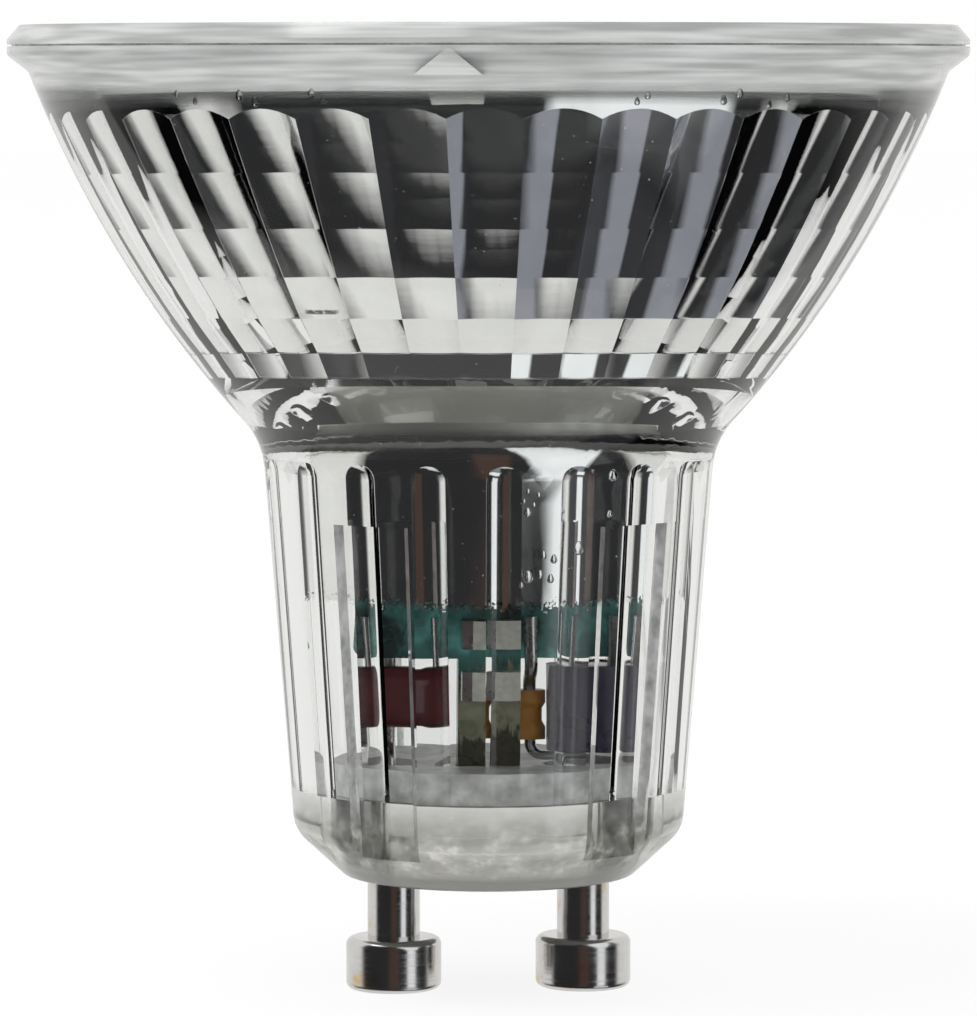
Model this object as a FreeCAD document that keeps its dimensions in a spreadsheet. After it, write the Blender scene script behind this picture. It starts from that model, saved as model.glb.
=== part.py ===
import FreeCAD
import Part
import Sketcher
import os

# A spotlight lamp with an all-glass body on a two-pin twist base.
# Frame: the origin lies midway between the pins, on the plane of their ends. +Z points out of the
# front lens, the pins stand on the X axis, and -Y is the side towards the viewer. Millimetres.
# Heights are measured from the ends of the pins.

DIMENSIONS = [
    # glass body, outside
    ("rim_diameter", 50.0, "outside of the rim"),
    ("body_height", 49.4, "top face of the glass body"),
    ("rim_band", 0.45, "upright band of the rim"),
    ("rim_underside", 0.85, "height of the flared underside of the rim"),
    ("bowl_top_diameter", 47.8, "outside of the bowl under the rim"),
    ("bowl_curve_radius", 59.0, "radius of the bowl's outer line"),
    ("neck_top_height", 28.9, "where the bowl meets the neck"),
    ("neck_top_diameter", 23.7, "outside of the neck at the bowl"),
    ("neck_bottom_height", 8.5, "where the neck turns into the base bevel"),
    ("neck_bottom_diameter", 20.4, "outside of the neck at the bevel"),
    ("base_height", 6.1, "flat underside of the glass"),
    ("base_diameter", 15.2, "flat underside of the glass"),
    ("neck_fillet", 4.0, "sweep from the neck into the bowl"),
    ("bevel_fillet", 1.8, "soft turn from the neck into the bevel"),
    ("base_fillet", 0.5, "edge of the flat underside"),
    ("rim_fillet", 0.35, "soft edges of the rim"),
    # guide slots in the neck
    ("slot_angle", 21.5, "width of a slot, in degrees"),
    ("slot_place", 37.0, "from the front or the back to a slot, in degrees"),
    ("slot_top_height", 25.1, "upper end of a slot"),
    ("slot_depth", 0.7, "depth of a slot"),
    # locating lug on the rim
    ("lug_width", 3.3, "foot of the triangular lug"),
    ("lug_height", 1.35, "height of the lug"),
    ("lug_drop", 0.08, "from the top face of the glass down to the lug's point"),
    ("lug_reach", 0.2, "how far the lug stands out of the rim"),
    ("lug_turn", -9.0, "from the front to the lug, in degrees"),
    # fluted inside of the bowl
    ("mouth_diameter", 42.8, "plain mouth of the bowl"),
    ("flute_top_height", 46.6, "tops of the flutes"),
    ("shelf_height", 33.3, "shelf that carries the light source"),
    ("step_height", 1.35, "steep fluted wall over the shelf"),
    ("step_draft", 0.7, "how far that wall draws in towards the shelf"),
    ("step_ledge", 0.06, "ledge between that wall and the lowest facets"),
    ("throat_diameter", 27.8, "across the flutes at the top of the step"),
    ("flute_count", 36, "flutes round the bowl"),
    ("flute_rows", 5, "sloped facets down each flute"),
    ("flute_radius", 9.5, "roundness of a flute"),
    ("row_taper", 0.35, "how fast the facets shorten towards the shelf, from 0 to 1"),
    ("bowl_power", 0.85, "how full the reflector is"),
    ("flute_relief", 0.5, "blank left outside the flutes before they are cut"),
    ("flute_overrun", 0.4, "share of a facet that its cutter runs past each end"),
    # inside of the neck
    ("funnel_diameter", 22.8, "funnel at the shelf"),
    ("bore_top_diameter", 19.0, "neck bore at the foot of the funnel"),
    ("bore_top_height", 31.5, "foot of the funnel"),
    ("bore_bottom_diameter", 16.8, "neck bore at the floor"),
    ("floor_height", 10.7, "inner floor of the glass"),
    ("panel_count", 16, "raised panels round the neck bore"),
    ("panel_width", 1.85, "width of a panel"),
    ("panel_rise", 0.2, "how far a panel stands into the bore"),
    ("panel_top_height", 28.4, "arched top of a panel"),
    # mirror film
    ("film_gap", 0.03, "between the film and the glass"),
    ("film_thickness", 0.08, "mirror film"),
    ("film_top_height", 47.5, "upper edge of the film"),
    ("film_bottom_height", 20.7, "lower edge of the film, in the neck"),
    # front lens and its seal
    ("seal_thickness", 0.1, "adhesive between the lens and the rim"),
    ("seal_inset", 0.25, "from the rim's edges to the adhesive"),
    ("lens_thickness", 1.0, "lens at its edge"),
    ("lens_band", 0.25, "upright part of the lens edge"),
    ("lens_bevel", 0.65, "width of the bevel round the lens"),
    ("spigot_depth", 0.9, "step of the lens that centres it in the mouth"),
    ("spigot_clearance", 0.3, "between that step and the mouth"),
    # light source
    ("pad_thickness", 0.12, "heat-conducting adhesive under the light board"),
    ("pad_width", 1.3, "width of that adhesive ring"),
    ("seat_clearance", 0.02, "between stacked flat faces"),
    ("light_board_thickness", 1.0, "metal board that carries the emitter"),
    ("light_board_clearance", 0.4, "between that board and the foot of the step"),
    ("emitter_diameter", 9.2, "glowing disc"),
    ("emitter_height", 0.42, "edge of the glowing disc"),
    ("emitter_crown", 0.15, "rise of the glowing disc at its middle"),
    ("dam_width", 0.7, "ring round the glowing disc"),
    ("dam_height", 0.55, "ring round the glowing disc"),
    # contact pins
    ("pin_pitch", 10.0, "between the pins' axes"),
    ("pin_head_diameter", 5.0, "locking head of a pin"),
    ("pin_head_height", 2.75, "locking head of a pin"),
    ("pin_head_fillet", 0.4, "edges of the head"),
    ("pin_shank_diameter", 2.75, "shank of a pin"),
    ("pin_fit", 0.04, "between the shank and its hole"),
    ("pin_collar_diameter", 4.2, "riveted collar inside the glass"),
    ("pin_collar_height", 0.5, "riveted collar inside the glass"),
    ("pin_stub", 0.7, "end of the pin above its collar"),
    ("pin_bore_depth", 1.6, "socket for the lead in the pin's end"),
    # driver board
    ("board_thickness", 1.0, "driver board"),
    ("board_width", 15.2, "driver board, wide part"),
    ("board_top_height", 32.2, "upper edge of the driver board"),
    ("board_shoulder_height", 17.7, "lower edge of the wide part"),
    ("tongue_width", 3.1, "narrow lower part of the driver board"),
    ("tongue_bottom_height", 11.1, "lower end of the tongue"),
    ("board_corner", 0.6, "rounded corners of the driver board"),
    ("part_clearance", 0.05, "between a component and the board"),
    ("potting_height", 1.3, "silicone on the floor round the tongue"),
    ("potting_clearance", 0.3, "between the silicone and the panels"),
    ("potting_crown", 0.35, "how far the silicone climbs at its edge"),
    # through-hole components
    ("lead_diameter", 0.5, "component leads"),
    ("lead_fit", 0.05, "between a lead and its hole"),
    ("film_cap_width", 5.2, "dipped film capacitor"),
    ("film_cap_depth", 2.2, "dipped film capacitor"),
    ("film_cap_height", 3.2, "dipped film capacitor"),
    ("film_cap_fillet", 0.9, "dipped film capacitor"),
    ("film_cap_place", 4.55, "from the axis to the middle of the film capacitor"),
    ("film_cap_pitch", 2.6, "between its leads"),
    ("can_diameter", 4.7, "aluminium can of the electrolytic capacitor"),
    ("can_height", 4.3, "that can"),
    ("can_fillet", 0.4, "closed end of that can"),
    ("can_place", 5.35, "from the axis to the can"),
    ("can_pitch", 2.0, "between its leads"),
    ("sleeve_wall", 0.1, "shrink sleeve of the can"),
    ("sleeve_lap", 0.35, "how far the sleeve turns over the can's end"),
    ("lead_gap", 0.4, "from a component's body to the board's shoulder"),
    ("lead_run", 2.2, "length of a lead on the board"),
    ("fuse_diameter", 1.3, "fusible resistor"),
    ("fuse_length", 2.6, "fusible resistor"),
    ("fuse_waist", 0.15, "waist of the fusible resistor"),
    ("fuse_place", 2.28, "from the axis to the fusible resistor"),
    ("fuse_bottom_height", 13.4, "lower end of the fusible resistor"),
    ("bend_radius", 0.6, "bends of the leads"),
    ("jog_radius", 0.9, "bends where a lead steps across to the board"),
    ("coil_diameter", 6.0, "flanges of the choke"),
    ("coil_height", 5.5, "choke"),
    ("coil_flange", 0.8, "flange of the choke's core"),
    ("coil_post_diameter", 3.0, "post of the choke's core"),
    ("coil_wire", 0.42, "enamelled wire of the choke"),
    ("coil_inset", 0.4, "from the flange's edge down to the winding"),
    ("coil_place", 2.4, "from the axis to the choke"),
    ("coil_bottom_height", 17.9, "lower end of the choke"),
    # surface-mounted components
    ("chip_width", 3.9, "driver chip and rectifier"),
    ("chip_length", 4.8, "driver chip and rectifier"),
    ("chip_height", 1.3, "driver chip and rectifier"),
    ("chip_standoff", 0.1, "chip above the board"),
    ("chip_draft", 0.2, "slope of the chip's sides"),
    ("leg_width", 0.45, "legs of a chip"),
    ("leg_pitch", 1.27, "legs of a chip"),
    ("leg_reach", 0.9, "legs of a chip"),
    ("leg_sheet", 0.2, "legs of a chip"),
    ("rectifier_height", 23.4, "middle of the rectifier"),
    ("driver_chip_height", 27.4, "middle of the driver chip"),
    ("smd_length", 2.9, "small chip components"),
    ("smd_depth", 1.1, "small chip components"),
    ("smd_width", 1.5, "small chip components"),
    ("smd_end", 0.45, "metal end of a small chip component"),
    ("smd_low_height", 16.3, "chip component on the tongue"),
    ("smd_high_height", 19.0, "chip component above it"),
    # insulated leads
    ("wire_diameter", 0.8, "insulated leads"),
    ("light_wire_place", 6.2, "from the axis to a lead of the light board"),
    ("light_wire_bottom", 27.2, "lower end of those leads"),
    ("light_wire_reach", 0.3, "straight end of those leads on the light board"),
    ("light_hole_clearance", 0.25, "round those leads in the light board"),
    ("mains_wire_top", 20.2, "upper end of the mains lead"),
]

NEAR = 1e-4
FULL_TURN = 360.0
LEG_STEPS = (-1.5, -0.5, 0.5, 1.5)

doc = FreeCAD.newDocument("spotlight_bulb")
sheet = doc.addObject("Spreadsheet::Sheet", "Dims")
for row, (alias, value, note) in enumerate(DIMENSIONS, 1):
    sheet.set(f"A{row}", note)
    sheet.set(f"B{row}", str(value))
    sheet.setAlias(f"B{row}", alias)
doc.recompute()


class Size:
    """A size worked out from the sheet: its value, and the expression that keeps it bound."""

    def __init__(self, value, text):
        self.value = float(value)
        self.text = text

    def __add__(self, other):
        other = as_size(other)
        return Size(self.value + other.value, f"({self.text} + {other.text})")

    def __sub__(self, other):
        other = as_size(other)
        return Size(self.value - other.value, f"({self.text} - {other.text})")

    def __mul__(self, other):
        other = as_size(other)
        return Size(self.value * other.value, f"({self.text} * {other.text})")

    def __truediv__(self, other):
        other = as_size(other)
        return Size(self.value / other.value, f"({self.text} / {other.text})")

    def __pow__(self, other):
        other = as_size(other)
        return Size(self.value ** other.value, f"({self.text} ^ {other.text})")

    def __neg__(self):
        return Size(-self.value, f"(0 - {self.text})")


def as_size(number):
    """A plain number as a size."""
    return number if isinstance(number, Size) else Size(number, f"{float(number):.6f}")


def dim(alias):
    """A size as the sheet holds it."""
    return Size(sheet.get(alias), f"Dims.{alias}")


def bind(thing, path, size):
    """Ties a property of an object to the sheet."""
    thing.setExpression(path, as_size(size).text)


ZERO = as_size(0.0)


# Sketches and features

def new_body(label):
    """An empty body whose label is the piece's name."""
    return doc.addObject("PartDesign::Body", label)


def origin_feature(body, role):
    """One of the body's own planes or axes."""
    return next(feature for feature in body.Origin.OriginFeatures if feature.Role == role)


def new_sketch(body, name, plane, offset=ZERO, turn=ZERO):
    """A sketch on one of the body's planes, moved along its normal and turned about its upright."""
    sketch = body.newObject("Sketcher::SketchObject", name)
    sketch.AttachmentSupport = [(origin_feature(body, plane), "")]
    sketch.MapMode = "FlatFace"
    rotation = FreeCAD.Rotation(FreeCAD.Vector(0, 1, 0), turn.value)
    base = rotation.multVec(FreeCAD.Vector(0, 0, offset.value))
    sketch.AttachmentOffset = FreeCAD.Placement(base, rotation)
    if turn is ZERO:
        bind(sketch, "AttachmentOffset.Base.z", offset)
    return sketch


def place_point(sketch, curve, end, across, up):
    """Fixes one point of a sketch at its place from the origin."""
    for kind, axis, size in (("DistanceX", -2, across), ("DistanceY", -1, up)):
        if size is ZERO:
            sketch.addConstraint(Sketcher.Constraint("PointOnObject", curve, end, axis))
            continue
        number = sketch.addConstraint(Sketcher.Constraint(kind, -1, 1, curve, end, size.value))
        bind(sketch, f"Constraints[{number}]", size)


def arc_middle(start, stop, radius, bulge):
    """The middle of the arc between two points, left (1) or right (-1) of the way it is drawn."""
    chord = stop - start
    rise = radius - (radius ** 2 - (chord.Length / 2) ** 2) ** 0.5
    left = FreeCAD.Vector(-chord.y, chord.x, 0) / chord.Length
    return (start + stop) / 2 + left * rise * bulge


def draw(sketch, points, arcs=None, closed=True):
    """Draws through points of (across, up); arcs gives (radius, bulge) for the sides that are round."""
    arcs = arcs or {}
    count = len(points)
    sides = count if closed else count - 1
    spots = [FreeCAD.Vector(across.value, up.value, 0) for across, up in points]
    starts = []
    stops = []
    for side in range(sides):
        start = spots[side]
        stop = spots[(side + 1) % count]
        first = 1
        if side in arcs:
            radius, bulge = arcs[side]
            middle = arc_middle(start, stop, radius.value, bulge)
            curve = sketch.addGeometry(Part.Arc(start, middle, stop))
            first = 1 if sketch.getPoint(curve, 1).distanceToPoint(start) < NEAR else 2
            number = sketch.addConstraint(Sketcher.Constraint("Radius", curve, radius.value))
            bind(sketch, f"Constraints[{number}]", radius)
        else:
            curve = sketch.addGeometry(Part.LineSegment(start, stop))
        starts.append((curve, first))
        stops.append((curve, 3 - first))
    for side in range(sides if closed else sides - 1):
        joint = Sketcher.Constraint("Coincident", *stops[side], *starts[(side + 1) % sides])
        sketch.addConstraint(joint)
    corners = starts if closed else starts + stops[-1:]
    for (curve, end), (across, up) in zip(corners, points):
        place_point(sketch, curve, end, across, up)
    return starts


def draw_circle(sketch, across, up, radius):
    """Draws a circle at its place."""
    centre = FreeCAD.Vector(across.value, up.value, 0)
    curve = sketch.addGeometry(Part.Circle(centre, FreeCAD.Vector(0, 0, 1), radius.value))
    number = sketch.addConstraint(Sketcher.Constraint("Radius", curve, radius.value))
    bind(sketch, f"Constraints[{number}]", radius)
    place_point(sketch, curve, 3, across, up)


def draw_rectangle(sketch, left, right, low, high):
    """Draws an upright rectangle."""
    draw(sketch, [(left, low), (right, low), (right, high), (left, high)])


def revolve(body, sketch, angle=None):
    """Turns a profile about its upright axis, all the way round or as a sector about its plane."""
    feature = body.newObject("PartDesign::Revolution", "Revolution")
    feature.Profile = sketch
    feature.ReferenceAxis = (sketch, ["V_Axis"])
    feature.Angle = FULL_TURN
    if angle:
        feature.Midplane = True
        bind(feature, "Angle", angle)
    return feature


def cut_round(body, sketch, axis, angle=None):
    """Cuts a turned profile out of the body."""
    feature = body.newObject("PartDesign::Groove", "Groove")
    feature.Profile = sketch
    feature.ReferenceAxis = (sketch, [axis])
    feature.Angle = FULL_TURN
    if angle:
        feature.Midplane = True
        bind(feature, "Angle", angle)
    return feature


def pad(body, sketch, length, midplane=False, backwards=False):
    """Raises a profile into a solid."""
    feature = body.newObject("PartDesign::Pad", "Pad")
    feature.Profile = sketch
    feature.Midplane = midplane
    feature.Reversed = backwards
    bind(feature, "Length", length)
    return feature


def pocket(body, sketch, length, backwards=False):
    """Cuts a profile out of the body, against the sketch's normal unless told otherwise."""
    feature = body.newObject("PartDesign::Pocket", "Pocket")
    feature.Profile = sketch
    feature.Reversed = backwards
    bind(feature, "Length", length)
    return feature


def polar(body, count, feature=None):
    """Repeats a feature, or the whole body where none is given, round the upright axis."""
    pattern = body.newObject("PartDesign::PolarPattern", "PolarPattern")
    if feature:
        pattern.Originals = [feature]
    else:
        pattern.TransformMode = "Whole shape"
    pattern.Axis = (origin_feature(body, "Z_Axis"), [""])
    pattern.Angle = FULL_TURN
    bind(pattern, "Occurrences", count)
    body.Tip = pattern
    return pattern


def fillet(body, base, edges, radius):
    """Rounds the named edges of a feature."""
    feature = body.newObject("PartDesign::Fillet", "Fillet")
    feature.Base = (base, edges)
    bind(feature, "Radius", radius)
    doc.recompute()
    return feature


def edges_where(feature, test):
    """The names of a feature's edges that pass a test."""
    return [f"Edge{number}" for number, edge in enumerate(feature.Shape.Edges, 1) if test(edge)]


def ring_edges(feature, radius, height):
    """The names of the round edges at a radius and a height."""
    def on_ring(edge):
        curve = edge.Curve
        if not isinstance(curve, Part.Circle):
            return False
        return abs(curve.Radius - radius.value) < NEAR and abs(curve.Center.z - height.value) < NEAR
    return edges_where(feature, on_ring)


def round_rings(body, base, rings):
    """Rounds the ring edges given as (radius, height, fillet radius), one after the other."""
    doc.recompute()
    for radius, height, soft in rings:
        base = fillet(body, base, ring_edges(base, radius, height), soft)
    return base


def turned(label, points, arcs=None):
    """A piece turned from one profile."""
    body = new_body(label)
    sketch = new_sketch(body, "Profile", "XZ_Plane")
    draw(sketch, points, arcs)
    revolve(body, sketch)
    return body


def tube_ring(label, inner, outer, low, high):
    """A plain ring between two radii and two heights."""
    return turned(label, [(inner, low), (outer, low), (outer, high), (inner, high)])


def block(name, corner, lengths):
    """A box from its lowest corner and its three lengths."""
    box = doc.addObject("Part::Box", name)
    for path, size in zip(("Placement.Base.x", "Placement.Base.y", "Placement.Base.z"), corner):
        bind(box, path, size)
    for path, size in zip(("Length", "Width", "Height"), lengths):
        bind(box, path, size)
    return box


def group(label, members):
    """Like solids that share one node."""
    compound = doc.addObject("Part::Compound", label)
    compound.Links = members
    return compound


def join(kind, label, base, tool):
    """A boolean of two pieces."""
    feature = doc.addObject(kind, label)
    feature.Base = base
    feature.Tool = tool
    return feature


def bent_lead(name, plane, offset, points, arcs, radius):
    """A round lead along a line of straight runs and bends that starts upright in its plane."""
    body = new_body(name)
    path = new_sketch(body, "Path", plane, offset)
    draw(path, points, arcs, closed=False)
    section = new_sketch(body, "Section", "XY_Plane", points[0][1])
    across = points[0][0]
    if plane == "YZ_Plane":
        draw_circle(section, offset, across, radius)
    else:
        draw_circle(section, across, -offset, radius)
    pipe = body.newObject("PartDesign::AdditivePipe", "Pipe")
    pipe.Profile = section
    pipe.Spine = path
    return body


def jogged_lead(name, place, side, start, turn_height, stop):
    """An upright lead that steps across from the axis plane to one face of the board."""
    bend = dim("jog_radius")
    half = lead_line / 2
    rise = (bend ** 2 - (bend - half) ** 2) ** 0.5
    points = [(ZERO, start), (ZERO, turn_height), (half * side, turn_height + rise),
              (lead_line * side, turn_height + rise * 2), (lead_line * side, stop)]
    return bent_lead(name, "YZ_Plane", place, points, {1: (bend, side), 2: (bend, -side)}, lead_radius)


# Shared sizes

rim_radius = dim("rim_diameter") / 2
bowl_top_height = dim("body_height") - dim("rim_band") - dim("rim_underside")
mouth_radius = dim("mouth_diameter") / 2
throat_radius = dim("throat_diameter") / 2
floor_height = dim("floor_height")
shelf_height = dim("shelf_height")
step_top = shelf_height + dim("step_height")
step_rim = throat_radius - dim("step_ledge")
step_foot = step_rim - dim("step_draft")
pin_place = dim("pin_pitch") / 2
shank_radius = dim("pin_shank_diameter") / 2
lead_radius = dim("lead_diameter") / 2
wire_radius = dim("wire_diameter") / 2
board_face = dim("board_thickness") / 2
shoulder = dim("board_shoulder_height")
lead_line = board_face + lead_radius
collar_foot = floor_height + dim("seat_clearance")
pin_end = collar_foot + dim("pin_collar_height") + dim("pin_stub")


def line_radius(foot, top, height):
    """The radius at a height on the slanted line between two (radius, height) points."""
    (foot_radius, foot_height), (top_radius, top_height) = foot, top
    share = (height - foot_height) / (top_height - foot_height)
    return foot_radius + (top_radius - foot_radius) * share


NECK_FOOT = (dim("neck_bottom_diameter") / 2, dim("neck_bottom_height"))
NECK_TOP = (dim("neck_top_diameter") / 2, dim("neck_top_height"))
BORE_FOOT = (dim("bore_bottom_diameter") / 2, floor_height)
BORE_TOP = (dim("bore_top_diameter") / 2, dim("bore_top_height"))


# Glass body

def flute_rings():
    """The (radius, height) points between the sloped facets of one flute, from the mouth to the step."""
    rows = int(dim("flute_rows").value)
    rings = []
    taper = dim("row_taper")
    for row in range(rows + 1):
        even = as_size((rows - row) / rows)
        share = even * (as_size(1.0) - taper) + even ** 2 * taper
        fullness = share ** dim("bowl_power") if share.value else share
        radius = throat_radius + (mouth_radius - throat_radius) * fullness
        height = step_top + (dim("flute_top_height") - step_top) * share
        rings.append((radius, height))
    return rings


def along(start, stop):
    """The unit direction from one point to another, and the direction to the right of it."""
    across = stop[0] - start[0]
    up = stop[1] - start[1]
    length = (across ** 2 + up ** 2) ** 0.5
    return (across / length, up / length), (up / length, -(across / length))


def step(point, direction, distance):
    """A point moved along a direction."""
    return point[0] + direction[0] * distance, point[1] + direction[1] * distance


def rod_cut(body, name, points, axis_ends, turn, arcs=None):
    """Cuts a round rod, drawn as half its section, out of the body."""
    sketch = new_sketch(body, name, "XZ_Plane", turn=turn)
    starts = draw(sketch, points, arcs)
    first, last = axis_ends
    ends = [FreeCAD.Vector(points[end][0].value, points[end][1].value, 0) for end in axis_ends]
    axis = sketch.addGeometry(Part.LineSegment(*ends), True)
    sketch.addConstraint(Sketcher.Constraint("Coincident", axis, 1, *starts[first]))
    sketch.addConstraint(Sketcher.Constraint("Coincident", axis, 2, *starts[last]))
    return cut_round(body, sketch, "Axis0")


def cut_flutes(body, profile, facets, skin):
    """Turns one flute's sector of a blank, cuts a round rod along each facet, and repeats it all round."""
    count = dim("flute_count")
    half_pitch = as_size(FULL_TURN / 2) / count
    sketch = new_sketch(body, "Blank", "XZ_Plane", turn=half_pitch)
    draw(sketch, profile)
    revolve(body, sketch, as_size(FULL_TURN) / count)
    overrun = dim("flute_overrun")
    for row, (upper, lower) in enumerate(facets):
        reach = (upper[0] - lower[0]) * overrun, (upper[1] - lower[1]) * overrun
        above = upper[0] + reach[0], upper[1] + reach[1]
        below = lower[0] - reach[0], lower[1] - reach[1]
        _, outward = along(lower, upper)
        axis_above = step(above, outward, dim("flute_radius"))
        axis_below = step(below, outward, dim("flute_radius"))
        near_above = step(above, outward, -skin)
        near_below = step(below, outward, -skin)
        rod_cut(body, f"Facet{row}", [near_above, near_below, axis_below, axis_above], (2, 3), half_pitch)
    doc.recompute()
    polar(body, count)


def bowl_plunger(name, skin, high):
    """The inside of the bowl above the step, drawn in by a skin."""
    body = new_body(name)
    relief = dim("flute_relief") - skin
    rings = flute_rings()
    profile = [(ZERO, step_top), (throat_radius + relief, step_top)]
    for radius, height in reversed(rings[1:-1]):
        profile.append((radius + relief, height))
    (top_radius, top_height), (next_radius, next_height) = rings[0], rings[1]
    rise = (top_height - next_height) / (top_radius - next_radius)
    join_height = next_height + (top_radius - dim("flute_relief") - next_radius) * rise
    profile += [(mouth_radius - skin, join_height), (mouth_radius - skin, high), (ZERO, high)]
    cut_flutes(body, profile, list(zip(rings, rings[1:])), skin)
    return body


def step_plunger(name, skin):
    """The steep fluted wall between the shelf and the bowl, drawn in by a skin."""
    body = new_body(name)
    relief = dim("flute_relief") - skin
    low = shelf_height + skin
    high = step_top + dim("step_ledge") + skin
    cut_flutes(body, [(ZERO, low), (step_foot + relief, low), (step_rim + relief, high), (ZERO, high)],
               [((step_rim, step_top), (step_foot, shelf_height))], skin)
    return body


def neck_plunger(name, skin, low):
    """The inside of the neck and its funnel, drawn in by a skin, with its round-topped panels."""
    body = new_body(name)
    sketch = new_sketch(body, "Bore", "XZ_Plane")
    low_radius = line_radius(BORE_FOOT, BORE_TOP, low) - skin
    funnel = dim("funnel_diameter") / 2 - skin
    crown = step_top + dim("step_ledge")
    draw(sketch, [(ZERO, low), (low_radius, low), (BORE_TOP[0] - skin, BORE_TOP[1]),
                  (funnel, shelf_height + skin), (funnel, crown), (ZERO, crown)])
    revolve(body, sketch)
    rise = dim("panel_rise")
    nose = dim("panel_width") ** 2 / (rise * 8) + rise / 2
    upward, outward = along(BORE_FOOT, BORE_TOP)
    foot_height = low - dim("panel_width")
    ball_height = dim("panel_top_height") - dim("panel_width") / 2
    foot = line_radius(BORE_FOOT, BORE_TOP, foot_height), foot_height
    ball = line_radius(BORE_FOOT, BORE_TOP, ball_height), ball_height
    axis_foot = step(foot, outward, nose - rise)
    axis_ball = step(ball, outward, nose - rise)
    points = [axis_foot, step(foot, outward, -(rise + skin)), step(ball, outward, -(rise + skin)),
              step(axis_ball, upward, nose + skin)]
    panel = rod_cut(body, "Panel", points, (0, 3), ZERO, arcs={2: (nose + skin, 1)})
    doc.recompute()
    polar(body, dim("panel_count"), panel)
    return body


def plunger(name, skin, low, high):
    """The whole inside of the glass between two heights, drawn in by a skin."""
    whole = doc.addObject("Part::MultiFuse", name)
    whole.Shapes = [bowl_plunger(f"{name}_bowl", skin, high), step_plunger(f"{name}_step", skin),
                    neck_plunger(f"{name}_neck", skin, low)]
    return whole


def glass_blank():
    """The outside of the glass: turned, slotted, drilled for the pins and given its lug."""
    body = new_body("glass_blank")
    sketch = new_sketch(body, "Outside", "XZ_Plane")
    base_radius = dim("base_diameter") / 2
    band_foot = dim("body_height") - dim("rim_band")
    bowl_top = dim("bowl_top_diameter") / 2, bowl_top_height
    draw(sketch, [(ZERO, dim("base_height")), (base_radius, dim("base_height")), NECK_FOOT, NECK_TOP,
                  bowl_top, (rim_radius, band_foot), (rim_radius, dim("body_height")),
                  (ZERO, dim("body_height"))],
         arcs={3: (dim("bowl_curve_radius"), -1)})
    blank = revolve(body, sketch)
    blank = round_rings(body, blank, [
        (*NECK_TOP, dim("neck_fillet")),
        (*NECK_FOOT, dim("bevel_fillet")),
        (base_radius, dim("base_height"), dim("base_fillet")),
        (rim_radius, band_foot, dim("rim_fillet")),
        (*bowl_top, dim("rim_fillet")),
    ])
    slot_top = dim("slot_top_height")
    beyond = NECK_TOP[0] + dim("slot_depth")
    for side in (1, -1):
        turn = (as_size(FULL_TURN / 4) - dim("slot_place")) * side
        sketch = new_sketch(body, "Slot", "XZ_Plane", turn=turn)
        low = dim("base_height")
        floor_top = line_radius(NECK_FOOT, NECK_TOP, slot_top) - dim("slot_depth")
        floor_low = line_radius(NECK_FOOT, NECK_TOP, low) - dim("slot_depth")
        draw(sketch, [(floor_low, low), (beyond, low), (beyond, slot_top), (floor_top, slot_top)])
        slot = cut_round(body, sketch, "V_Axis", dim("slot_angle"))
        doc.recompute()
        polar(body, as_size(2), slot)
    sketch = new_sketch(body, "PinHoles", "XY_Plane", floor_height + dim("pin_stub"))
    for side in (1, -1):
        draw_circle(sketch, pin_place * side, ZERO, shank_radius + dim("pin_fit"))
    pocket(body, sketch, floor_height)
    sketch = new_sketch(body, "Lug", "XZ_Plane", rim_radius + dim("lug_reach"), dim("lug_turn"))
    lug_point = dim("body_height") - dim("lug_drop")
    lug_foot = lug_point - dim("lug_height")
    draw(sketch, [(-(dim("lug_width") / 2), lug_foot), (dim("lug_width") / 2, lug_foot),
                  (ZERO, lug_point)])
    pad(body, sketch, (rim_radius + dim("lug_reach") - mouth_radius) / 2, backwards=True)
    return body


def make_glass():
    """The pressed glass body: its blank less the plunger, and the mirror film that lines it."""
    blank = glass_blank()
    cavity = plunger("cavity", ZERO, floor_height, dim("body_height") + dim("rim_band"))
    join("Part::Cut", "glass_body", blank, cavity)
    gap = dim("film_gap")
    inner_skin = gap + dim("film_thickness")
    low = dim("film_bottom_height")
    high = dim("film_top_height")
    outside = plunger("film_outside", gap, low, high)
    inside = plunger("film_inside", inner_skin, low - dim("panel_width"), high + dim("rim_band"))
    join("Part::Cut", "mirror_film", outside, inside)


# Front lens

def make_lens():
    """The front lens, stepped to sit in the mouth, and the ring of adhesive under its edge."""
    seat = dim("body_height") + dim("seal_thickness")
    spigot = mouth_radius - dim("spigot_clearance")
    top = seat + dim("lens_thickness")
    foot = seat - dim("spigot_depth")
    turned("front_lens", [
        (ZERO, foot), (spigot, foot), (spigot, seat), (rim_radius, seat),
        (rim_radius, seat + dim("lens_band")), (rim_radius - dim("lens_bevel"), top), (ZERO, top)])
    inset = dim("seal_inset")
    tube_ring("lens_seal", mouth_radius + inset, rim_radius - inset, dim("body_height"), seat)


# Light source

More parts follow.
